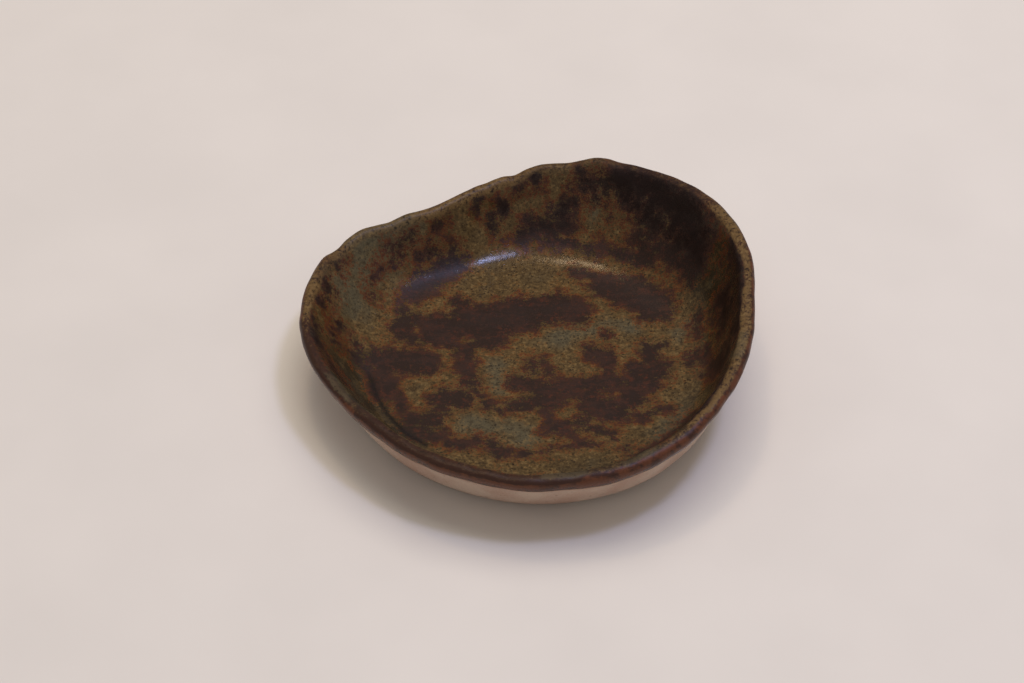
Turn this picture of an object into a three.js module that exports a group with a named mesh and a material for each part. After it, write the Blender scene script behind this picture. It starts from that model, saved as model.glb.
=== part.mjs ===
// A small hand-pinched stoneware dish for sauce, salt or pickles.
// Two bodies make it: the fired clay, and the glaze that coats its well, wraps its lip and laps a
// little way down the outside. Below that lap the clay is bare, and it stands on its own flat base.
// Millimetres and degrees, +Z up. The origin is the middle of the flat base. Bearings are counted
// anticlockwise from +X, seen from above; the tall side of the rim faces +X +Y.

import * as THREE from "three";

// The clay body
const RIM_REACH = 48.5; // axis to the outer edge of the lip, on average
const RIM_HEIGHT = 19.8; // table to the crest of the lip, on average
const LIP_THICKNESS = 2.2; // clay across the round lip, on average
const BASE_HALF_WIDTH = 34.8; // the flat base is an oval: axis to its edge along X
const BASE_HALF_DEPTH = 34; // and along Y
const FLOOR_PAST_BASE = 1.4; // how much further the floor of the well reaches than the base
const FLOOR_THICKNESS = 4; // clay under the edge of that floor
const FLOOR_SAG = 0.5; // how much lower the middle of the floor lies than its edge
const HEEL_RUN = 8.5; // pull of the curve that rolls the base out into the outer wall
const COVE_RUN = 4; // pull of the curve that rolls the floor up into the inner wall
const WALL_RUN = 8; // pull of both wall curves where they meet the lip
const LIP_UPTURN = 4; // how much more upright a wall stands at the lip than on the whole

// The glaze
const GLAZE_THICKNESS = 0.4;
const GLAZE_LAP = 2.1; // along the outer wall, from the lip down to where the glaze stops
const LAP_SWING = 0.9; // how far that edge wanders up and down
const LAP_SWINGS = 4; // times it does so round the dish
const LAP_LOWEST = 225; // bearing of one of its low points

// What the hand did to the rim, at even steps of bearing from +X: how far it pulled the lip out
// from RIM_REACH and up from RIM_HEIGHT, and how much it left on LIP_THICKNESS.
const RIM_PULLS = [
  { out: -2.2, up: 3.8, thick: 0.4 },
  { out: 1.7, up: 4.8, thick: 0.2 },
  { out: 2.6, up: 3.8, thick: 0 },
  { out: 0.9, up: 1, thick: -0.2 },
  { out: -3.5, up: -1.9, thick: -0.4 },
  { out: 2.6, up: -2.4, thick: -0.4 },
  { out: 2.2, up: -2.2, thick: -0.2 },
  { out: -0.9, up: -2.2, thick: 0 },
  { out: -1.1, up: -2.7, thick: 0.2 },
  { out: 0.2, up: -2.7, thick: 0.4 },
  { out: 0.8, up: -1.2, thick: 0.5 },
  { out: -1.5, up: 1.8, thick: 0.4 },
];
const BASE_SHARE = 0.3; // the part of a pull outwards that reached the base

// Finger pinches along the lip: bearing, and depth of the notch, below zero where the clay swelled
// between two fingers.
const PINCHES = [
  { bearing: 74, depth: -0.7 },
  { bearing: 82, depth: 0.2 },
  { bearing: 96, depth: 0.9 },
  { bearing: 104, depth: 0.4 },
  { bearing: 123, depth: 0.2 },
  { bearing: 135, depth: 0.5 },
  { bearing: 151, depth: 0.6 },
];
const PINCH_WIDTH = 3; // half the width of a notch, along the rim

// Facets
const BEARINGS = 120;
const HEEL_STEPS = 7;
const LAP_STEPS = 2;
const LIP_STEPS = 5;
const COVE_STEPS = 8;
const FLOOR_STEPS = 2;

const FULL_TURN = 2 * Math.PI;
const rimPulls = new THREE.CatmullRomCurve3(
  RIM_PULLS.map(({ out, up, thick }) => new THREE.Vector3(out, up, thick)),
  true,
  "catmullrom",
);

// How deep the finger notches bite at a bearing.
function pinchAt(bearing) {
  return PINCHES.reduce((sum, pinch) => {
    const turn = bearing - THREE.MathUtils.degToRad(pinch.bearing);
    const along = RIM_REACH * Math.atan2(Math.sin(turn), Math.cos(turn));
    return sum + pinch.depth * Math.exp(-((along / PINCH_WIDTH) ** 2));
  }, 0);
}

// Axis to the edge of the base at a bearing.
function baseReachAt(bearing, pulledOut) {
  const across = BASE_HALF_DEPTH * Math.cos(bearing);
  const along = BASE_HALF_WIDTH * Math.sin(bearing);
  return (BASE_HALF_WIDTH * BASE_HALF_DEPTH) / Math.hypot(across, along) + BASE_SHARE * pulledOut;
}

// Lean from upright, at the lip, of a wall that runs so far out as it rises so far.
function lipLean(out, up) {
  return Math.atan2(out, up) - THREE.MathUtils.degToRad(LIP_UPTURN);
}

// The points of a stretch at even shares from 0 to 1.
function steps(count, pointAt) {
  return Array.from({ length: count + 1 }, (_, i) => pointAt(i / count));
}

// The clay's section at a bearing, as points (reach, height): the bare outside from the edge of the
// base up to the glaze's edge, and the glazed side from there over the lip and down to the axis.
function claySection(bearing) {
  const pull = rimPulls.getPoint(bearing / FULL_TURN);
  const pinch = pinchAt(bearing);
  const rimReach = RIM_REACH + pull.x - pinch;
  const rimHeight = RIM_HEIGHT + pull.y - pinch;
  const lipThickness = LIP_THICKNESS + pull.z;
  const baseReach = baseReachAt(bearing, pull.x);
  const floorReach = baseReach + FLOOR_PAST_BASE;

  const outerLean = lipLean(rimReach - baseReach, rimHeight);
  const innerLean = lipLean(rimReach - lipThickness - floorReach, rimHeight - FLOOR_THICKNESS);
  const lipRadius = lipThickness / 2;
  const lip = new THREE.EllipseCurve(
    rimReach - lipRadius,
    rimHeight - lipRadius,
    lipRadius,
    lipRadius,
    -outerLean,
    Math.PI - innerLean,
  );
  const lipOutside = lip.getPoint(0);
  const lipInside = lip.getPoint(1);
  const downOutside = new THREE.Vector2(-Math.sin(outerLean), -Math.cos(outerLean));
  const downInside = new THREE.Vector2(-Math.sin(innerLean), -Math.cos(innerLean));
  const outerWall = new THREE.CubicBezierCurve(
    new THREE.Vector2(baseReach, 0),
    new THREE.Vector2(baseReach + HEEL_RUN, 0),
    lipOutside.clone().addScaledVector(downOutside, WALL_RUN),
    lipOutside,
  );
  const innerWall = new THREE.CubicBezierCurve(
    lipInside,
    lipInside.clone().addScaledVector(downInside, WALL_RUN),
    new THREE.Vector2(floorReach + COVE_RUN, FLOOR_THICKNESS),
    new THREE.Vector2(floorReach, FLOOR_THICKNESS),
  );
  const lapTurn = LAP_SWINGS * (bearing - THREE.MathUtils.degToRad(LAP_LOWEST));
  const lap = GLAZE_LAP + LAP_SWING * Math.cos(lapTurn);
  const lapStart = 1 - lap / outerWall.getLength();

  const bare = steps(HEEL_STEPS, (share) => outerWall.getPointAt(lapStart * share));
  const lapped = steps(LAP_STEPS, (share) => outerWall.getPointAt(lapStart + (1 - lapStart) * share));
  const rounded = steps(LIP_STEPS, (share) => lip.getPoint(share));
  const coved = steps(COVE_STEPS, (share) => innerWall.getPointAt(share));
  const floor = steps(FLOOR_STEPS, (share) => {
    const sag = FLOOR_SAG * (1 - (1 - share) ** 2);
    return new THREE.Vector2(floorReach * (1 - share), FLOOR_THICKNESS - sag);
  });
  const glazed = [...lapped, ...rounded.slice(1), ...coved.slice(1), ...floor.slice(1)];
  return { bare, glazed };
}

// The glaze's free surface over a stretch of clay: a skin that starts from nothing at the lap edge.
function glazeSkin(clay) {
  const last = clay.length - 1;
  return clay.map((point, i) => {
    const along = clay[Math.min(i + 1, last)].clone().sub(clay[Math.max(i - 1, 0)]).normalize();
    const outward = i === last ? new THREE.Vector2(0, 1) : new THREE.Vector2(along.y, -along.x);
    return point.clone().addScaledVector(outward, i === 0 ? 0 : GLAZE_THICKNESS);
  });
}

// A closed solid swept round the axis. sectionAt(bearing) runs from the axis, out along the
// underside, over the edge and back to the axis. Each facet's diagonal is chosen by height alone,
// so that two solids that share a stretch of section meet facet to facet.
function sweptSolid(sectionAt) {
  const bearingOf = (i) => (FULL_TURN * i) / BEARINGS;
  const sections = Array.from({ length: BEARINGS }, (_, i) => sectionAt(bearingOf(i)));
  const last = sections[0].length - 1;
  const positions = [0, 0, sections[0][0].y, 0, 0, sections[0][last].y];
  sections.forEach((section, i) => {
    section.slice(1, last).forEach(({ x: reach, y: height }) => {
      positions.push(reach * Math.cos(bearingOf(i)), reach * Math.sin(bearingOf(i)), height);
    });
  });
  const vertex = (i, j) => 2 + (i % BEARINGS) * (last - 1) + (j - 1);
  const triangles = [];
  for (let i = 0; i < BEARINGS; i++) {
    triangles.push(0, vertex(i + 1, 1), vertex(i, 1));
    for (let j = 1; j < last - 1; j++) {
      const [a, b] = [vertex(i, j), vertex(i + 1, j)];
      const [d, c] = [vertex(i, j + 1), vertex(i + 1, j + 1)];
      const rises = sections[i][j].y <= sections[i][j + 1].y;
      triangles.push(...(rises ? [a, b, c, a, c, d] : [a, b, d, b, c, d]));
    }
    triangles.push(1, vertex(i, last - 1), vertex(i + 1, last - 1));
  }
  const geometry = new THREE.BufferGeometry();
  geometry.setAttribute("position", new THREE.Float32BufferAttribute(positions, 3));
  geometry.setIndex(triangles);
  geometry.computeVertexNormals();
  return geometry;
}

function clayBody() {
  const bareClay = new THREE.MeshStandardMaterial({ color: 0x9c8674, roughness: 0.85, metalness: 0 });
  const section = (bearing) => {
    const { bare, glazed } = claySection(bearing);
    return [new THREE.Vector2(0, 0), ...bare, ...glazed.slice(1)];
  };
  const mesh = new THREE.Mesh(sweptSolid(section), bareClay);
  mesh.name = "clay_body";
  return mesh;
}

function glazeCoat() {
  const ironGlaze = new THREE.MeshStandardMaterial({ color: 0x4a3d2a, roughness: 0.3, metalness: 0 });
  const section = (bearing) => {
    const { glazed } = claySection(bearing);
    return [...glazed.toReversed(), ...glazeSkin(glazed).slice(1)];
  };
  const mesh = new THREE.Mesh(sweptSolid(section), ironGlaze);
  mesh.name = "glaze_coat";
  return mesh;
}

const dish = new THREE.Group();
dish.add(clayBody(), glazeCoat());

export default dish;
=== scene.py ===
# A small hand-pinched stoneware dish with a mottled iron and ash glaze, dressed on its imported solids.
# Metres, +Z up, the origin in the middle of the flat base. Names ending in _MM hold millimetres.
# Bearings are in degrees, anticlockwise from +X seen from above, and so are their fades.
import math

import bmesh
import bpy
import numpy as np
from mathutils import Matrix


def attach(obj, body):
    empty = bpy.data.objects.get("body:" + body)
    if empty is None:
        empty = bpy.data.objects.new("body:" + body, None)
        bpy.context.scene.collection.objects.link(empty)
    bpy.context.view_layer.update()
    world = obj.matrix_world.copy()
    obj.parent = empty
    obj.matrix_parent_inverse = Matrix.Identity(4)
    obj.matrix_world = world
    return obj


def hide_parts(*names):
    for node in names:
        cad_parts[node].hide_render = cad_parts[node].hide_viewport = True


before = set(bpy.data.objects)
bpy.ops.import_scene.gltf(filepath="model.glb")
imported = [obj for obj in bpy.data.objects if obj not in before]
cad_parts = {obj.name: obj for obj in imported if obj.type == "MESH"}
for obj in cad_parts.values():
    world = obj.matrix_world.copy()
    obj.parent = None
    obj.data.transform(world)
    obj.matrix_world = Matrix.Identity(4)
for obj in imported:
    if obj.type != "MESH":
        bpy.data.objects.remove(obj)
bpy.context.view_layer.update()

# Clay body
# One lump of buff stoneware, pinched up from a pad by hand, smoothed with wet fingers and fired.
# It is bare outside and under its flat base, which it stands on; the glaze hides its lip and well.
MM = 0.001
WELD = 1e-6
CLAY_STEP_MM = 1.4
BODY_BEARINGS = 3  # bearings drawn for each one of the solid's
DIMPLE_SPACING_MM = 15
DIMPLE_DEPTH_MM = 0.9
RIPPLE_SPACING_MM = 4.5
RIPPLE_DEPTH_MM = 0.5
LEVEL_MM = 12  # the marks of the hand fade out below this height, so the base and the floor stay flat
HAND_SEED = 7
CLAY_PALE = (186, 164, 146)
CLAY_PINK = (170, 140, 122)
CLAY_GRIT = (112, 88, 72)
CLAY_TOAST = (128, 84, 60)
TOAST_RUN_MM = 1.3  # how far below the glaze's edge the clay is toasted


class Wire:
    """A socket of a node tree. Sums on it add Math nodes, and node() adds any other kind."""

    def __init__(self, tree, socket=None):
        self.tree = tree
        self.socket = socket

    def node(self, kind, settings=None, sockets=None, out=0):
        made = self.tree.nodes.new(kind)
        for name, value in (settings or {}).items():
            setattr(made, name, value)
        for key, value in (sockets or {}).items():
            if isinstance(value, Wire):
                self.tree.links.new(made.inputs[key], value.socket)
            else:
                made.inputs[key].default_value = value
        return Wire(self.tree, made.outputs[out])

    def math(self, operation, *values):
        return self.node("ShaderNodeMath", {"operation": operation}, dict(enumerate(values)))

    def __add__(self, other):
        return self.math("ADD", self, other)

    __radd__ = __add__

    def __sub__(self, other):
        return self.math("SUBTRACT", self, other)

    def __rsub__(self, other):
        return self.math("SUBTRACT", other, self)

    def __mul__(self, other):
        return self.math("MULTIPLY", self, other)

    __rmul__ = __mul__

    def __rtruediv__(self, other):
        return self.math("DIVIDE", other, self)

    def __abs__(self):
        return self.math("ABSOLUTE", self)

    def ease(self, start, end):
        """From 0 to 1, softly, as the value goes from start to end."""
        sockets = {"Value": self, "From Min": start, "From Max": end}
        return self.node("ShaderNodeMapRange", {"interpolation_type": "SMOOTHSTEP"}, sockets)

    def tinted(self, under, over):
        """The colour that lies this share of the way from one to another, wires or screen colours."""
        under, over = (end if isinstance(end, Wire) else colour(*end) for end in (under, over))
        return self.node("ShaderNodeMix", {"data_type": "RGBA"}, {0: self, 6: under, 7: over}, out=2)


def colour(red, green, blue):
    """The linear colour of a screen colour given from 0 to 255."""
    shares = [value / 255 for value in (red, green, blue)]
    linear = [s / 12.92 if s <= 0.04045 else ((s + 0.055) / 1.055) ** 2.4 for s in shares]
    return (*linear, 1)


def cloud(place, spacing_mm, detail=2, roughness=0.5):
    """Soft noise around 0, with lumps about so far apart."""
    sockets = {"Vector": place, "Scale": 1 / (spacing_mm * MM), "Detail": detail, "Roughness": roughness}
    return place.node("ShaderNodeTexNoise", None, sockets) - 0.5


def cad_sections(node):
    """A solid's section at each of its bearings, as (reach, height) from its lower pole to its upper."""
    shell = bmesh.new()
    shell.from_mesh(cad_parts[node].data)
    bmesh.ops.remove_doubles(shell, verts=shell.verts, dist=WELD)
    shell.verts.index_update()

    def bearing(vert):
        return math.atan2(vert.co.y, vert.co.x) % math.tau

    def neighbours(vert):
        return [edge.other_vert(vert) for edge in vert.link_edges]

    def on_bearing(vert, start):
        return round((bearing(vert) - bearing(start)) / turn) == 0

    low, high = sorted((v for v in shell.verts if v.co.xy.length < WELD), key=lambda v: v.co.z)
    turn = math.tau / len(low.link_edges)
    sections = []
    for start in sorted(neighbours(low), key=lambda v: round(bearing(v) / turn) % len(low.link_edges)):
        row = [low, start]
        while row[-1] != high:
            onward = [v for v in neighbours(row[-1]) if v not in (row[-2], low)]
            row.append(next(v for v in onward if v == high or on_bearing(v, start)))
        sections.append([(v.co.xy.length, v.co.z) for v in row])
    shell.free()
    return np.array(sections)


def hermite(start, end, start_pull, end_pull, share):
    """A point on the cubic curve between two points with the given pulls."""
    turned = share * share * (3 - 2 * share)
    leaving = share * (1 - share) ** 2
    arriving = share * share * (share - 1)
    return start + turned * (end - start) + leaving * start_pull + arriving * end_pull


def finer_along(sections, step_mm):
    """Sections with points about a step apart, on smooth curves through the points given."""
    chord = np.linalg.norm(np.diff(sections, axis=1), axis=2)[..., None]
    slope = np.diff(sections, axis=1) / chord
    before, after = chord[:, :-1], chord[:, 1:]
    inner = (before * slope[:, :-1] + after * slope[:, 1:]) / (before + after)
    pull = np.concatenate([slope[:, :1], inner, slope[:, -1:]], axis=1)
    rows = []
    for span in range(chord.shape[1]):
        long = chord[:, span]
        count = max(1, round(float(long.mean()) / (step_mm * MM)))
        ends = sections[:, span], sections[:, span + 1]
        pulls = pull[:, span] * long, pull[:, span + 1] * long
        rows += [hermite(*ends, *pulls, step / count) for step in range(count)]
    return np.stack([*rows, sections[:, -1]], axis=1)


def finer_around(sections, times):
    """Sections at so many times as many bearings, smoothly between the ones given."""
    onward = np.roll(sections, -1, axis=0)
    pull = (onward - np.roll(sections, 1, axis=0)) / 2
    between = [hermite(sections, onward, pull, np.roll(pull, -1, axis=0), i / times) for i in range(times)]
    return np.stack(between, axis=1).reshape(-1, *sections.shape[1:])


def swept_mesh(name, sections):
    """A closed mesh swept round the axis. Each section runs from the lower pole to the upper one."""
    bearings, points = sections.shape[:2]
    angle = np.arange(bearings)[:, None] * math.tau / bearings
    reach, height = sections[:, 1:-1, 0], sections[:, 1:-1, 1]
    ring = np.stack([reach * np.cos(angle), reach * np.sin(angle), height], axis=2).reshape(-1, 3)
    poles = [(0, 0, sections[:, 0, 1].mean()), (0, 0, sections[:, -1, 1].mean())]
    rows = points - 2
    faces = []
    for i in range(bearings):
        here, there = 2 + i * rows, 2 + (i + 1) % bearings * rows
        faces.append((0, there, here))
        faces += [(here + j, there + j, there + j + 1, here + j + 1) for j in range(rows - 1)]
        faces.append((1, here + rows - 1, there + rows - 1))
    mesh = bpy.data.meshes.new(name)
    mesh.from_pydata(np.concatenate([poles, ring]).tolist(), [], faces)
    mesh.shade_smooth()
    return mesh


def open_tree(name, sizes):
    """A tree of Geometry Nodes, and a wire from each of its named inputs."""
    tree = bpy.data.node_groups.new(name, "GeometryNodeTree")
    for label, kind in sizes.items():
        tree.interface.new_socket(label, in_out="INPUT", socket_type=f"NodeSocket{kind}")
    tree.interface.new_socket("Geometry", in_out="OUTPUT", socket_type="NodeSocketGeometry")
    given = tree.nodes.new("NodeGroupInput")
    return tree, {label: Wire(tree, given.outputs[label]) for label in sizes}


def close_tree(tree, geometry, material):
    """Ends a tree with real geometry in its material."""
    real = geometry.node("GeometryNodeRealizeInstances", None, {"Geometry": geometry})
    dressed = geometry.node("GeometryNodeSetMaterial", None, {"Geometry": real, "Material": material})
    tree.links.new(tree.nodes.new("NodeGroupOutput").inputs[0], dressed.socket)
    return tree


def hand_marks_tree():
    """Moves a skin as fingers do: wide shallow dimples, a finer ripple, and nothing at the base."""
    sizes = ("Dimple Spacing", "Dimple Depth", "Ripple Spacing", "Ripple Depth", "Level", "Seed")
    kinds = {"Geometry": "Geometry", **dict.fromkeys(sizes, "Float"), "Material": "Material"}
    tree, size = open_tree("Hand marks", kinds)
    place = size["Seed"].node("GeometryNodeInputPosition")

    def vector(operation, sockets):
        return place.node("ShaderNodeVectorMath", {"operation": operation}, sockets)

    def drift(spacing, depth):
        waves = {"Vector": place, "W": size["Seed"], "Scale": 1 / size[spacing], "Detail": 0}
        noise = place.node("ShaderNodeTexNoise", {"noise_dimensions": "4D"}, waves, out="Color")
        centred = vector("SUBTRACT", {0: noise, 1: (0.5, 0.5, 0.5)})
        return vector("SCALE", {0: centred, "Scale": size[depth]})

    dimples = drift("Dimple Spacing", "Dimple Depth")
    ripples = drift("Ripple Spacing", "Ripple Depth")
    both = vector("ADD", {0: dimples, 1: ripples})
    height = place.node("ShaderNodeSeparateXYZ", None, {0: place}, out="Z")
    offset = vector("SCALE", {0: both, "Scale": height.ease(0, size["Level"])})
    moved = place.node("GeometryNodeSetPosition", None, {"Geometry": size["Geometry"], "Offset": offset})
    return close_tree(tree, moved, size["Material"])


HAND_MARKS = hand_marks_tree()


def from_tree(name, mesh, tree, sizes):
    """A piece whose plain mesh is what a tree makes of a mesh with the sizes given."""
    piece = bpy.data.objects.new(name, mesh)
    bpy.context.scene.collection.objects.link(piece)
    step = piece.modifiers.new(tree.name, "NODES")
    step.node_group = tree
    for item in tree.interface.items_tree:
        if item.in_out == "INPUT" and item.name in sizes:
            step[item.identifier] = sizes[item.name]
    graph = bpy.context.evaluated_depsgraph_get()
    plain = bpy.data.meshes.new_from_object(piece.evaluated_get(graph), depsgraph=graph)
    piece.modifiers.clear()
    piece.data = plain
    plain.name = name
    return piece


def hand_shaped(name, mesh, material):
    """A piece with the marks of the hand. Skins that lie on each other take the same marks."""
    sizes = {
        "Dimple Spacing": DIMPLE_SPACING_MM * MM,
        "Dimple Depth": DIMPLE_DEPTH_MM * MM,
        "Ripple Spacing": RIPPLE_SPACING_MM * MM,
        "Ripple Depth": RIPPLE_DEPTH_MM * MM,
        "Level": LEVEL_MM * MM,
        "Seed": HAND_SEED,
        "Material": material,
    }
    return from_tree(name, mesh, HAND_MARKS, sizes)


def new_material(name):
    """A material, a wire to build it with, and its shader node."""
    material = bpy.data.materials.new(name)
    material.use_nodes = True
    tree = material.node_tree
    return material, Wire(tree), tree.nodes["Principled BSDF"]


def dress(wire, shader, skin, rough, relief, strength, relief_mm, gloss):
    """Gives a shader its colour, its roughness, a bump from its relief, and how strongly it mirrors."""
    lumps = {"Strength": strength, "Distance": relief_mm * MM, "Height": relief}
    bump = wire.node("ShaderNodeBump", None, lumps)
    for socket, value in (("Base Color", skin), ("Roughness", rough), ("Normal", bump)):
        wire.tree.links.new(shader.inputs[socket], value.socket)
    shader.inputs["Specular IOR Level"].default_value = gloss


def note_on(mesh, name, values):
    """Stores one number for each vertex of a mesh, for its material to read."""
    layer = mesh.attributes.new(name, "FLOAT", "POINT")
    layer.data.foreach_set("value", np.asarray(values, np.float32).ravel())


def noted_as(name, wire):
    """The number that is stored under a name on the mesh."""
    return wire.node("ShaderNodeAttribute", {"attribute_name": name}, out="Fac")


def bare_clay():
    """Smooth buff clay, toasted along the edge of the glaze, with a fine sandy grain."""
    material, wire, shader = new_material("bare_clay")
    place = wire.node("ShaderNodeTexCoord", out="Object")
    grain = cloud(place, 0.45, detail=3, roughness=0.6)
    warmth = (cloud(place, 11, detail=3) + grain * 0.4).ease(-0.16, 0.2)
    skin = warmth.tinted(CLAY_PALE, CLAY_PINK)
    grit = cloud(place, 0.8, detail=1).ease(0.17, 0.25)
    skin = (grit * 0.5).tinted(skin, CLAY_GRIT)
    toast = noted_as("toast", wire)
    skin = (toast + cloud(place, 2.2) * 0.7 * toast).ease(0.1, 1.1).tinted(skin, CLAY_TOAST)
    rough = 0.72 + grain * 0.3
    relief = grain + cloud(place, 1.8, detail=2) * 0.8
    dress(wire, shader, skin, rough, relief, strength=0.5, relief_mm=0.06, gloss=0.3)
    return material


clay_sections = finer_around(finer_along(cad_sections("clay_body"), CLAY_STEP_MM), BODY_BEARINGS)
clay_sections[:, :, 1] = clay_sections[:, :, 1].clip(0)  # the smooth heel must not dip into the table
clay_mesh = swept_mesh("clay_shell", clay_sections)

# The glaze's edge outside, halfway along its section at each bearing, and how far below it the clay lies
glaze_cad = cad_sections("glaze_coat")
lap_point = glaze_cad.shape[1] // 2
lap_height = finer_around(glaze_cad[:, lap_point:lap_point + 1], BODY_BEARINGS)[:, :, 1]
below_lap = np.clip(lap_height - clay_sections[:, 1:-1, 1], 0, None) / MM
toast = np.concatenate([[0, 0], np.exp(-below_lap / TOAST_RUN_MM).ravel()])
note_on(clay_mesh, "toast", toast)

clay = hand_shaped("pinched_clay", clay_mesh, bare_clay())
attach(clay, "root")
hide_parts("clay_body")

# Glaze coat
# A coat of ash glaze over brushed iron wash, melted on in the kiln: olive where the ash is thin,
# grey-green where it is thick, brown where the iron lies, with rust where one bleeds into the other.
GLAZE_STEP_MM = 0.55
UNDER_STEP_MM = 2.5
COVE_SOFTENING = 150  # rounds of evening out along the wall, so that it runs softly into the floor
SOFT_BEARINGS = (50, 145)  # the back, where it does so most
SOFT_FADE = 30
SOFT_SHARE = 0.25  # how much of that the rest of the wall gets
LAND_DROP_MM = 0.24  # how much the crest of the lip is flattened where the hand pressed a land on it
LAND_WIDTH_MM = 1.4
LAND_BEARINGS = [(-8, 30), (202, 214)]
LAND_FADE = 8
OCHRE_BEARINGS = [(-44, 32), (100, 148), (170, 176)]  # the thin glaze on the lip breaks to ochre here
LIT_OCHRE_BEARINGS = [(98, 166), (-22, -8), (26, 34)]  # and the ochre band reaches further in here: partly the lip's colour, partly a painted highlight where the inner lip catches the light
DIPPED_BEARINGS = [(190, 203), (226, 270)]  # the lip is darkest here, where it was dipped in the wash
SHADED_WALL_BEARINGS = [(-74, 36), (188, 226)]  # painted shade: these stretches of wall are painted darker and browner, for the shade that lies on them
SHADED_WALL_RUN_MM = (17, 26)  # how far past the crest they start to fade, and end
TONE_FADE = 10
BEAD_MM = 0.1  # the roll in which the glaze stops on the outside
BEAD_PLACE_MM = 0.5
EDGE_RUN_MM = 0.6  # how far up from there the thin edge shows rust
DENT_DEPTH_MM = 0.35  # a fingertip dent low on the back wall, that catches the light
DENT_BEARING = 110
DENT_FADE = 8
DENT_REACH_MM = 37.5
DENT_RUN_MM = 7
CREASE_DEPTH_MM = 0.14  # the sharp line where the floor meets the wall, at the front left
CREASE_WIDTH_MM = 0.6
CREASE_LINE = [(-36.6, -2.6), (-34.6, -9.9), (-32, -15.6), (-28.1, -21.2), (-23.3, -25)]
CREASE_BEARINGS = (188, 224)
CREASE_FADE = 8
LIP_RUN_MM = 6  # how far past its crest the lip is over
LIP_SATIN_MM = (3.5, 1.5)  # how far from its crest the lip starts to lose its gloss, and has lost it
WALL_RUN_MM = (19, 12)  # how far past the crest the wall's look is gone, and how far it is still whole
IRON_LIMIT_MM = 8  # depths in the iron are kept within this, inside its strokes and outside
BRUSH_STRETCH = (0.3, 1, 1)  # streaks are drawn out along the strokes of the brush
BRUSH_TURN = (0, 0, -0.22)  # which slant by this, in radians
DRIP_STRETCH = (1, 1, 0.25)  # and runs are drawn out down the wall
SPECK_SPACING_MM = 0.85
KHAKI = (82, 63, 36)
GREY_GREEN = (79, 70, 51)
PALE_ASH = (122, 98, 60)
DARK_ASH = (44, 31, 18)
OCHRE_RUST = (98, 62, 26)
WALL_SHADE_BROWN = (40, 33, 23)
RUST = (80, 38, 19)
RUST_BRIGHT = (106, 60, 24)
IRON_BROWN = (42, 28, 21)
IRON_RED = (59, 34, 23)
IRON_GREY = (43, 33, 28)
IRON_BLACK = (26, 13, 9)
SPECK = (28, 20, 14)
LIP_OCHRE = (100, 75, 41)
LIP_RED = (54, 30, 20)
LIP_ASH = (88, 76, 53)
LIP_OUTSIDE = (88, 48, 27)
EDGE_RUST = (112, 72, 48)
CREASE_SHADE_BROWN = (24, 18, 15)

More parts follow.
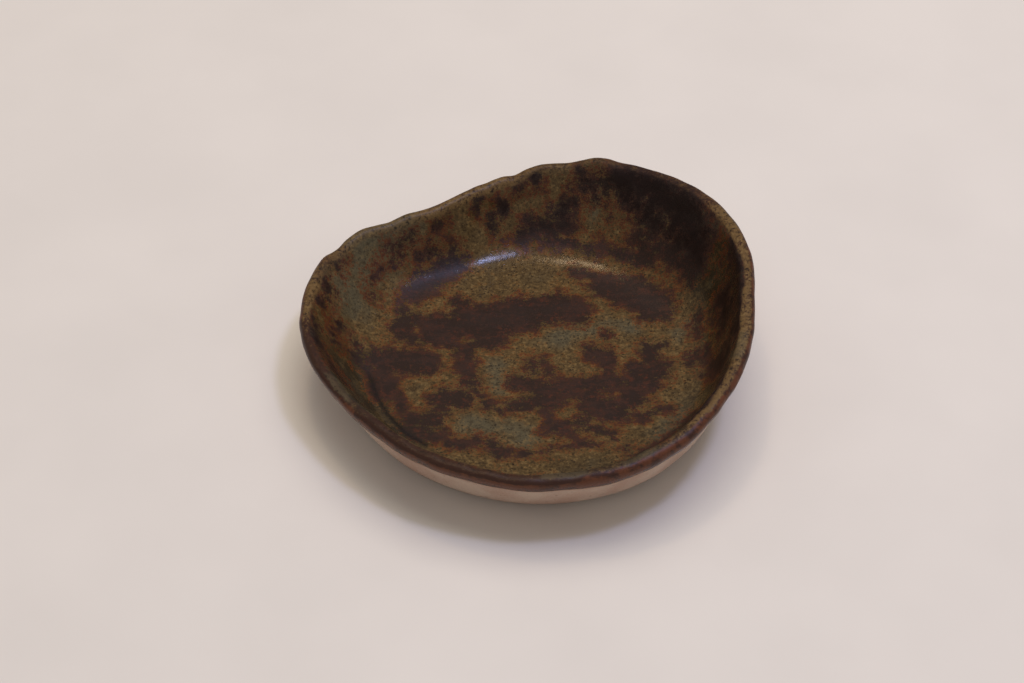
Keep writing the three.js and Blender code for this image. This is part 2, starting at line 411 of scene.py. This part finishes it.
# Strokes of iron wash, seen from above: half the stroke's width, then the points along it, all in mm
IRON_STROKES = [
    # The long stroke across the back of the floor
    (5.0, (-27.5, 11.5), (-20, 11.5)),
    (6.0, (-19, 12.5), (-10, 14.5), (-4, 17)),
    (4.7, (-4, 17.8), (5, 18.8), (8, 18.3)),
    (3.2, (-20, 9), (-10, 8.6)),
    (1.5, (-18, 21), (-16, 19)),
    (1.6, (-30, 18.5), (-29.5, 13)),
    # The dabs at the left of the floor, and down along its edge
    (3.9, (-34, 1.2), (-24.5, 1)),
    (3.0, (-33.5, -3), (-32.5, -8)),
    (1.3, (-31, -10), (-28.8, -14)),
    (2.5, (-26, -17), (-22.5, -17.5)),
    (2.2, (-26, -20.5), (-21, -22)),
    (2.8, (-20.5, -10.5), (-17, -11)),
    (1.7, (-21, -13.5), (-20, -14)),
    (2.2, (-15.8, 5), (-15.5, 0), (-14.5, -3)),
    (1.3, (-16, -5.5), (-13, -5)),
    (0.5, (-14, -7), (-11.8, -10)),
    (0.9, (-11, -12), (-8, -14)),
    # The row of dabs at the front of the floor
    (1.4, (-18.5, -24.5), (-13, -24)),
    (1.7, (-9.5, -25), (-8, -27)),
    (0.9, (-2.5, -27.6), (2.5, -26.5)),
    (0.7, (5.5, -25), (12, -24.4)),
    (0.8, (19, -25), (19, -26)),
    (0.6, (16.3, -22), (16, -23.5)),
    # The broad patch at the right of the floor
    (2.3, (-4, -5.5), (-0.5, -6.5)),
    (1.9, (-5, -12.5), (0, -12)),
    (2.6, (1, -8), (10, -6), (18, -5)),
    (2.4, (0, -11.5), (6, -9.5), (14, -9)),
    (3.5, (12, -12), (20, -10)),
    (3.0, (13, -15.5), (17, -15)),
    (2.4, (3.6, -19.8), (6.8, -19.6)),
    (1.3, (2.4, -14.5), (3, -19)),
    (1.7, (9, -17.8), (13, -20)),
    (2.0, (2, -14), (3.5, -12)),
    (2.4, (12.5, 4.3), (14.8, 3.2)),
    (1.8, (15.5, 1), (16.5, -4)),
    (1.9, (24.5, 5.5), (24.8, 1)),
    (0.9, (26, 5.6), (27.6, 7)),
    (2.8, (21, -1.5), (26, -2)),
    (3.2, (22, -5.5), (24, -5.5)),
    (1.0, (29, 1), (28, -1.5)),
    (0.7, (23, -15.5), (28, -13.5)),
    (0.9, (20.5, -15.5), (22.5, -16.5)),
    (1.3, (-1, 1.5), (-0.5, -2)),
    (1.1, (1.2, 1.8), (1.4, 1.2)),
    (1.3, (2.6, -1.6), (3, -2.4)),
    (0.8, (15.4, 9.8), (16, 9.6)),
    # The patch at the back right of the floor
    (3.7, (15, 26), (20, 24.5)),
    (4.7, (20, 24), (26, 19)),
    (2.2, (24, 17), (28, 16.5)),
    (1.2, (8, 30.5), (13, 29)),
    # The back wall, darkest at the right
    (3.6, (18, 43.5), (25, 41), (30, 37), (34, 31), (36, 25)),
    (1.8, (37.4, 25.5), (31.6, 31.8), (25, 36.8)),
    (1.8, (34.5, 25), (28, 31.2), (22, 35)),
    (1.2, (26.5, 30), (20.5, 33.2), (15, 35.2)),
    (1.4, (18.6, 43.8), (10, 45.4)),
    (0.8, (8.6, 44.4), (5.4, 42)),
    (0.5, (0.4, 46.8), (-6.4, 44.2)),
    (1.8, (7, 40.6), (2, 40.6), (-3, 39.4)),
    (1.0, (15, 35.4), (9, 37.6), (1, 38.4)),
    (0.4, (-6.8, 42.6), (-10.2, 40.4), (-8.4, 38)),
    (0.4, (-12.8, 41.8), (-13.6, 41.2)),
    # The red-brown stretch at the left of the back wall, and the iron below it
    (0.0, (-20.4, 36.8), (-23.4, 34.2), (-24.8, 32.2)),
    (0.4, (-19.6, 33.8), (-26.4, 29.6)),
    (0.2, (-27.4, 32.6), (-33, 28.8)),
    (0.1, (-30.2, 29.2), (-32.6, 27.4)),
    (2.3, (-18.6, 31.6), (-21.2, 28.8), (-25, 25.2), (-28, 21.8)),
    # The right wall, under the lip
    (1.1, (42.6, 19), (44, 9.5), (43.4, 0), (42.6, -5)),
    (1.5, (42, -7), (41.6, -3)),
    (2.0, (39.7, -8.6), (38.4, -4)),
    (1.8, (40.6, 4), (40.9, 8), (40.2, 12)),
    (1.1, (37.3, -4.6), (37.1, 3.4)),
    (1.8, (40.5, -21), (36.8, -26.5), (31, -32)),
    (1.3, (35, 3.4), (33.6, 1)),
    (0.7, (35, 14), (35.5, 8)),
    # Spots on the left wall
    (1.0, (-45, 20), (-44.4, 22.4)),
    (0.8, (-45.5, 13.5), (-45.9, 11)),
    (0.8, (-47.5, 8.6), (-47.4, 7.4)),
    (0.7, (-43.5, 7), (-43.5, 4.5)),
    (0.8, (-43.6, 1.8), (-43, 0)),
    (0.8, (-47.8, 0.8), (-46.9, -5.9)),
    (1.0, (-44.9, -7.9), (-42.6, -12.4)),
    (1.1, (-39.6, 5), (-39, 0.6)),
    (1.3, (-38.4, -1.4), (-37, -2)),
    (0.4, (-36.8, 19.4), (-36.4, 18)),
    (0.1, (-37, 22), (-35, 25)),
    # The front wall
    (3.4, (-16, -37), (-5, -40), (6, -39)),
    (1.4, (14, -39), (24, -36)),
    (1.2, (19, -31), (27, -24.5), (33, -17.5)),
]

# Spots where the ash floats clear inside a stroke, in the same way
CLEAR_SPOTS = [
    (0.9, (-17, 8), (-15.6, 8.8)),
    (0.8, (-27, 11.4), (-26.6, 11.6)),
    (0.9, (-20, 17.5), (-19.8, 16.5)),
    (0.7, (-24.8, 5.7), (-24.2, 5.8)),
    (0.8, (-29.4, 7), (-29, 5.8)),
    (1.0, (4.8, -16.6), (9, -15.4)),
    (0.9, (8.2, -11.4), (4.9, -15.8)),
    (0.7, (15, -9.3), (17, -9)),
    (0.7, (11.6, -18.6), (12.6, -17.2)),
    (0.8, (8.6, -19.6), (10.6, -20.8)),
    (0.7, (18, -0.6), (18.8, -3)),
    (1.0, (-31.6, -12.4), (-28.4, -18.6)),
    (0.9, (13.4, 43.2), (16.4, 41.4)),
    (0.6, (17.4, 40.4), (21.4, 38.2)),
]

# Pools of thick ash, in the same way
ASH_POOLS = [
    (5.0, (-14, -18), (-6, -20.5)),
    (3.4, (-3.5, -21), (-2, -24)),
    (3.6, (-9, 0), (-8, -6)),
    (4.2, (6, 10), (12, 11.5)),
    (3.4, (16, 13), (21, 13)),
    (3.6, (-41, 27), (-37, 29)),
    (3.2, (-45, 16), (-42, 12)),
    (3.6, (31.5, -15.5), (26, -23)),
    (3.0, (31, 9), (33, 12)),
    (1.8, (13.4, 43.4), (13, 42)),
    (1.6, (41.6, 18.8), (38.6, 17.8)),
    (2.8, (-44.5, -19), (-40.5, -25)),
    (2.4, (42.5, -11), (41.5, -16)),
    (2.4, (18.5, -43.4), (23, -41.2)),
    (2.0, (2, -47), (9, -46.5)),
    (5.0, (-30, 34), (-38, 25), (-43, 15)),
    (3.4, (-41.5, -8), (-37.5, -18), (-32, -26)),
]


def from_stroke(plan, half_width, *points):
    """How far each point of the plan lies outside a stroke's edge, below zero inside it."""
    nearest = np.full(len(plan), np.inf)
    for start, end in zip(points, points[1:]):
        lit_ochre = np.subtract(end, start)
        share = np.clip((plan - start) @ lit_ochre / (lit_ochre @ lit_ochre), 0, 1)
        nearest = np.minimum(nearest, np.linalg.norm(plan - start - share[:, None] * lit_ochre, axis=1))
    return nearest - half_width


def iron_depth(plan):
    """How far each point lies inside the strokes of iron, below zero outside them."""
    inside = -np.min([from_stroke(plan, *stroke) for stroke in IRON_STROKES], axis=0)
    clear = np.min([from_stroke(plan, *spot) for spot in CLEAR_SPOTS], axis=0)
    return np.clip(np.minimum(inside, clear), -IRON_LIMIT_MM, IRON_LIMIT_MM)


def ash_share(plan):
    """How thick the ash lies at each point, from 0 to 1."""
    away = [from_stroke(plan, 0, *line) / reach for reach, *line in ASH_POOLS]
    return np.exp(-(np.min(away, axis=0) ** 2))


def iron_glaze():
    """The melted coat: ash colours, iron strokes with ragged rusty edges, specks, and a worn lip."""
    material, wire, shader = new_material("iron_glaze")
    place = wire.node("ShaderNodeTexCoord", out="Object")
    names = ("iron", "ash", "lip", "land", "ochre", "dipped", "lit_ochre", "wall_shade", "edge", "crease_line_and_shade")
    noted = {name: noted_as(name, wire) for name in names}
    slanted = {"Vector": place, "Scale": BRUSH_STRETCH, "Rotation": BRUSH_TURN}
    brushed = wire.node("ShaderNodeMapping", None, slanted)
    hanging = wire.node("ShaderNodeMapping", None, {"Vector": place, "Scale": DRIP_STRETCH})
    ragged = cloud(place, 3.2, detail=7, roughness=0.7)
    streak = cloud(brushed, 1.3, detail=4, roughness=0.6)
    crumb = cloud(place, 0.75, detail=4, roughness=0.75)
    grain = cloud(place, 0.28, detail=2)
    mottle = cloud(place, 1.7, detail=3, roughness=0.6)
    drift = cloud(place, 6, detail=3)
    patch = cloud(place, 3.6, detail=4, roughness=0.6)
    running = cloud(hanging, 2.4, detail=4, roughness=0.6)
    on_wall = noted["lip"].ease(*WALL_RUN_MM)
    edge_noise = ragged * 9 + streak * 4 + crumb * 8 + grain * 3
    depth = noted["iron"] + edge_noise + running * on_wall * 6 + 0.35

    # Ash: khaki near the iron, grey-green and smoother where it lies thick, with dark specks
    far = (0 - depth).ease(1.0, 5.0)
    thick = (noted["ash"] * 0.75 + far * 0.3 + drift * 1.2 + crumb * 0.6).ease(0.15, 1.05)
    fleck = crumb + mottle * 0.5
    ash = thick.tinted(KHAKI, GREY_GREEN)
    ash = (fleck.ease(0.0, 0.2) * (0.75 - thick * 0.4)).tinted(ash, PALE_ASH)
    ash = (fleck.ease(0.0, -0.2) * (0.75 - thick * 0.1)).tinted(ash, DARK_ASH)
    stained = (mottle + ragged * 0.5).ease(0.05, 0.2) * (1 - thick) * (1 - on_wall * 0.6)
    ash = (stained * 0.5).tinted(ash, OCHRE_RUST)
    spread = {"Vector": place, "Scale": 1 / (SPECK_SPACING_MM * MM)}
    dots = wire.node("ShaderNodeTexVoronoi", None, spread, out="Distance")
    dashes = cloud(brushed, 0.42, detail=2)
    speck = dots.ease(0.38, 0.22) * mottle.ease(-0.08, 0.02) + dashes.ease(0.15, 0.21)
    ash = (speck * (0.65 - on_wall * 0.2)).tinted(ash, SPECK)
    beside = depth.ease(-3.5, -1.0) * (1 - on_wall) * (crumb + grain * 0.5).ease(0.0, 0.16)
    ash = (beside * 0.4).tinted(ash, PALE_ASH)
    # Painted shade: the walls at these bearings are tinted dark brown, in a mottled strength, for the
    # shade that lies on them.
    wall_shade_mottle = (patch * 0.6 + running + drift * 0.4).ease(0.12, -0.12)
    ash = (noted["wall_shade"] * (0.5 + wall_shade_mottle * 0.4)).tinted(ash, WALL_SHADE_BROWN)

    # Rust: a crumbly fringe, orange at its outer edge and red-brown next to the iron
    glow = (crumb + grain * 0.8 - depth * 0.06).ease(-0.06, 0.22) * (1 - on_wall * 0.85)
    ember = glow.tinted(RUST, RUST_BRIGHT)
    crumbly = (crumb + grain * 0.6 + ragged * 0.4 + drift * 0.5).ease(-0.1, 0.06)
    bleed = (depth + on_wall * 0.4).ease(-1.6, 0.0) * crumbly
    skin = (bleed * 0.92).tinted(ash, ember)

    # Iron: red-brown in streaks and along its edges, greyer inside, near black high on the wall
    warm = (streak + drift * 0.8 + mottle * 0.6 + crumb * 0.8 - depth * 0.02).ease(-0.12, 0.14)
    iron = warm.tinted(IRON_BROWN, IRON_RED)
    iron = ((depth + drift * 14).ease(1.0, 5.0) * 0.5).tinted(iron, IRON_GREY)
    iron = (fleck.ease(0.05, 0.2) * depth.ease(9, 0.5) * 0.8).tinted(iron, RUST)
    iron = (depth.ease(0.8, 2.8) * on_wall * (0.85 + streak)).tinted(iron, IRON_BLACK)
    covered = depth.ease(-0.2, 0.4)
    skin = (covered * 0.96).tinted(skin, iron)

    # Lip: thin glaze that breaks to ochre, dark where it was dipped, and red-brown outside
    lip = noted["lip"] + noted["land"] * 0.2 + ragged * 2 + crumb
    # Where the band reaches further in, it is partly a painted highlight on the inner lip.
    band = lip.ease(-1.1, -0.4) * (lip - noted["lit_ochre"] * 1.4).ease(1.2, 0.3)
    tone = patch * 0.7 + crumb * 1.1 + grain * 0.6 + noted["ochre"] * 0.2 - noted["dipped"] * 0.2 - 0.08
    worn = tone.ease(-0.12, 0.14).tinted(LIP_RED, LIP_OCHRE)
    worn = (noted["ash"].ease(0.4, 0.9) * 0.5).tinted(worn, LIP_ASH)
    worn = (fleck.ease(-0.04, -0.18) * 0.8).tinted(worn, SPECK)
    worn = (dots.ease(0.26, 0.16) * 0.5).tinted(worn, SPECK)
    worn = (fleck.ease(0.02, 0.18) * noted["ochre"] * 0.6).tinted(worn, PALE_ASH)
    skin = (band * (0.5 + noted["ochre"] * 0.4 + noted["dipped"] * 0.4)).tinted(skin, worn)
    shade = noted["dipped"] * lip.ease(-2.1, -1.5)
    flow = (drift + patch * 0.5 + streak * 0.6 + crumb * 0.6 - shade * 0.4).ease(-0.19, 0.09)
    flowed = flow.tinted(LIP_RED, LIP_OUTSIDE)
    skin = (lip.ease(-0.4, -1.1) * 0.95).tinted(skin, flowed)
    skin = ((noted["edge"] + crumb).ease(0.2, 0.9) * 0.8).tinted(skin, EDGE_RUST)
    # Painted shade: a dark line along the crease at the front left.
    skin = (noted["crease_line_and_shade"] * 0.9).tinted(skin, CREASE_SHADE_BROWN)

    on_lip = abs(noted["lip"]).ease(*LIP_SATIN_MM)
    rough = 0.2 + covered * 0.26 + grain * 0.12 + crumb * 0.08 + on_lip * 0.26
    relief = crumb * 0.5 + grain * 0.3 + ragged * 0.9 - speck * 0.4 + on_lip * mottle * 3
    dress(wire, shader, skin, rough, relief, strength=0.4, relief_mm=0.08, gloss=0.35)
    return material


under = finer_around(finer_along(glaze_cad[:, :lap_point + 1], UNDER_STEP_MM), BODY_BEARINGS)
skin = finer_around(finer_along(glaze_cad[:, lap_point:], GLAZE_STEP_MM), BODY_BEARINGS)
skin_bearing = np.arange(len(skin))[:, None] * 360 / len(skin)  # in degrees


def plan_of(sections):
    """The points of sections at even bearings, seen from above, in mm."""
    angle = np.arange(len(sections))[:, None] * math.tau / len(sections)
    return np.stack([sections[:, :, 0] * np.cos(angle), sections[:, :, 0] * np.sin(angle)], axis=2) / MM


def on_arc(first, last, fade):
    """1 at the bearings from one to another, fading to 0 past them."""
    middle, half = (first + last) / 2, (last - first) / 2
    away = np.abs((skin_bearing - middle + 180) % 360 - 180) - half
    return np.exp(-np.clip(away / fade, 0, None) ** 2)


def on_arcs(arcs, fade):
    """The same for several arcs of bearings."""
    return np.max([on_arc(*arc, fade) for arc in arcs], axis=0)


# Distances along the skin in mm, from the glaze's edge outside and from the crest of the lip
steps = np.linalg.norm(np.diff(skin, axis=1), axis=2)
along = np.concatenate([np.zeros((len(skin), 1)), steps.cumsum(axis=1)], axis=1) / MM
crest = skin[:, :, 1].argmax(axis=1)[:, None]
past_crest = along - np.take_along_axis(along, crest, axis=1)
past_lip = past_crest > LIP_RUN_MM

creased = on_arc(*CREASE_BEARINGS, CREASE_FADE)
land = on_arcs(LAND_BEARINGS, LAND_FADE)
off_line = from_stroke(plan_of(skin).reshape(-1, 2), 0, *CREASE_LINE).reshape(along.shape)
# The band along the crease: it sinks the groove, and carries the painted shade in the crease.
crease_line_and_shade = creased * np.exp(-((off_line / CREASE_WIDTH_MM) ** 2)) * past_lip
soft = SOFT_SHARE + (1 - SOFT_SHARE) * on_arc(*SOFT_BEARINGS, SOFT_FADE)
soft = (soft * (1 - creased) * past_lip)[:, 1:-1, None]
for _ in range(COVE_SOFTENING):
    evened = (skin[:, :-2] + 2 * skin[:, 1:-1] + skin[:, 2:]) / 4
    skin[:, 1:-1] += soft * (evened - skin[:, 1:-1])
flattened = LAND_DROP_MM * land * np.exp(-((past_crest / LAND_WIDTH_MM) ** 4))
dent = on_arc(DENT_BEARING, DENT_BEARING, DENT_FADE)
dent = dent * np.exp(-(((skin[:, :, 0] / MM - DENT_REACH_MM) / DENT_RUN_MM) ** 2))
skin[:, :, 1] -= (flattened + CREASE_DEPTH_MM * crease_line_and_shade + DENT_DEPTH_MM * dent) * MM
swell = np.clip(along / BEAD_PLACE_MM, 0, 1) * np.exp(-(((along - BEAD_PLACE_MM) / BEAD_PLACE_MM) ** 2))
skin[:, :, 0] += BEAD_MM * swell * MM

glaze_mesh = swept_mesh("glaze_shell", np.concatenate([under, skin[:, 1:]], axis=1))
places = np.empty(len(glaze_mesh.vertices) * 3)
glaze_mesh.vertices.foreach_get("co", places)
plan = places.reshape(-1, 3)[:, :2] / MM


def over_shell(values, elsewhere):
    """A skin's numbers in the order of the shell's vertices: the poles, then row after row."""
    hidden = np.full((len(skin), under.shape[1] - 2), float(elsewhere))
    rows = np.concatenate([hidden, values[:, :-1]], axis=1)
    return np.concatenate([[elsewhere, values[0, -1]], rows.ravel()])


skin_notes = {
    "land": land,
    "ochre": on_arcs(OCHRE_BEARINGS, TONE_FADE),
    "dipped": on_arcs(DIPPED_BEARINGS, TONE_FADE),
    "lit_ochre": on_arcs(LIT_OCHRE_BEARINGS, TONE_FADE),
    "wall_shade": on_arcs(SHADED_WALL_BEARINGS, TONE_FADE) * np.interp(past_crest, SHADED_WALL_RUN_MM, (1, 0)),
    "edge": np.exp(-along / EDGE_RUN_MM),
    "crease_line_and_shade": crease_line_and_shade,
}
for name, values in skin_notes.items():
    note_on(glaze_mesh, name, over_shell(np.broadcast_to(values, along.shape), 0))
note_on(glaze_mesh, "iron", iron_depth(plan))
note_on(glaze_mesh, "ash", ash_share(plan))
note_on(glaze_mesh, "lip", over_shell(past_crest, past_crest.max()))

glaze = hand_shaped("mottled_glaze", glaze_mesh, iron_glaze())
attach(glaze, "root")
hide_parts("glaze_coat")

# Table and light
# A plain pale table top. A broad window light from behind and a dim room light in front show the
# colours, and two small lamps, one cool and one warm, are the only ones that glint in the glaze.
TABLE_PALE = (214, 205, 196)
TABLE_DARK = (0, 0, 0)
TABLE_SHADE = 0.05  # how far its darkest clouds go towards the dark
TABLE_HALF = 1.5
ROOM_TONE = (1.0, 0.98, 0.95, 1)
ROOM_LIGHT = 0.4  # strength of the even light from all round
ROOM_IN_GLOSS = 0.15  # and how strong it looks in the gloss of the glaze


def plain_table():
    """A pale, matt top with a faint unevenness."""
    material, wire, shader = new_material("pale_table")
    place = wire.node("ShaderNodeTexCoord", out="Object")
    shade = cloud(place, 40, detail=3).ease(-0.3, 0.3)
    tone = (shade * TABLE_SHADE).tinted(TABLE_PALE, TABLE_DARK)
    wire.tree.links.new(shader.inputs["Base Color"], tone.socket)
    shader.inputs["Roughness"].default_value = 0.9
    shader.inputs["Specular IOR Level"].default_value = 0.1
    return material


table_mesh = bpy.data.meshes.new("table_top")
sides = ((-1, -1), (1, -1), (1, 1), (-1, 1))
table_mesh.from_pydata([(x * TABLE_HALF, y * TABLE_HALF, 0) for x, y in sides], [], [(0, 1, 2, 3)])
table_mesh.materials.append(plain_table())
table = bpy.data.objects.new("table_top", table_mesh)
bpy.context.scene.collection.objects.link(table)


def soft_light(name, azimuth, elevation, distance, size, power, tone, in_gloss):
    """A square light that faces the dish. Azimuth 0 stands in front, at -Y, and 90 on the right."""
    light = bpy.data.lights.new(name, "AREA")
    light.size = size
    light.energy = power
    light.color = tone
    lamp = bpy.data.objects.new(name, light)
    turn, lift = math.radians(azimuth), math.radians(elevation)
    flat = distance * math.cos(lift)
    lamp.location = (flat * math.sin(turn), -flat * math.cos(turn), distance * math.sin(lift))
    lamp.rotation_euler = (math.pi / 2 - lift, 0, turn)
    lamp.visible_glossy = in_gloss
    bpy.context.scene.collection.objects.link(lamp)


soft_light("window", azimuth=155, elevation=76, distance=1.0, size=0.75,
           power=6.0, tone=(1.0, 0.97, 0.9), in_gloss=False)
soft_light("room", azimuth=10, elevation=35, distance=1.2, size=1.2,
           power=1.2, tone=(1.0, 0.97, 0.94), in_gloss=False)
soft_light("sky", azimuth=80, elevation=72, distance=0.9, size=0.1,
           power=2.0, tone=(0.46, 0.55, 1.0), in_gloss=True)
soft_light("lamp", azimuth=204, elevation=72.5, distance=0.9, size=0.09,
           power=0.5, tone=(1.0, 0.72, 0.45), in_gloss=True)

world = bpy.data.worlds.new("soft_room")
world.use_nodes = True
room = world.node_tree.nodes["Background"]
room.inputs["Color"].default_value = ROOM_TONE
rays = Wire(world.node_tree).node("ShaderNodeLightPath", out="Is Glossy Ray")
strength = rays * (ROOM_IN_GLOSS - ROOM_LIGHT) + ROOM_LIGHT
world.node_tree.links.new(room.inputs["Strength"], strength.socket)
bpy.context.scene.world = world

# Camera
# It stands in front and looks down on the dish at a steep slant, through a long lens.
# Its shift puts the dish where it stands in the photograph.
VIEW_ELEVATION = math.radians(43)
VIEW_DISTANCE = 0.531
LENS_MM = 85
SENSOR_MM = 36
IMAGE_WIDTH, IMAGE_HEIGHT = 1024, 683
DISH_PIXEL = (537, 379)  # where the origin falls in the picture

camera = bpy.data.cameras.new("camera")
camera.lens = LENS_MM
camera.sensor_width = SENSOR_MM
camera.shift_x = (IMAGE_WIDTH / 2 - DISH_PIXEL[0]) / IMAGE_WIDTH
camera.shift_y = (DISH_PIXEL[1] - IMAGE_HEIGHT / 2) / IMAGE_WIDTH
viewer = bpy.data.objects.new("camera", camera)
viewer.location = (0, -VIEW_DISTANCE * math.cos(VIEW_ELEVATION), VIEW_DISTANCE * math.sin(VIEW_ELEVATION))
viewer.rotation_euler = (math.pi / 2 - VIEW_ELEVATION, 0, 0)
bpy.context.scene.collection.objects.link(viewer)
bpy.context.scene.camera = viewer
bpy.context.scene.view_settings.view_transform = "Standard"
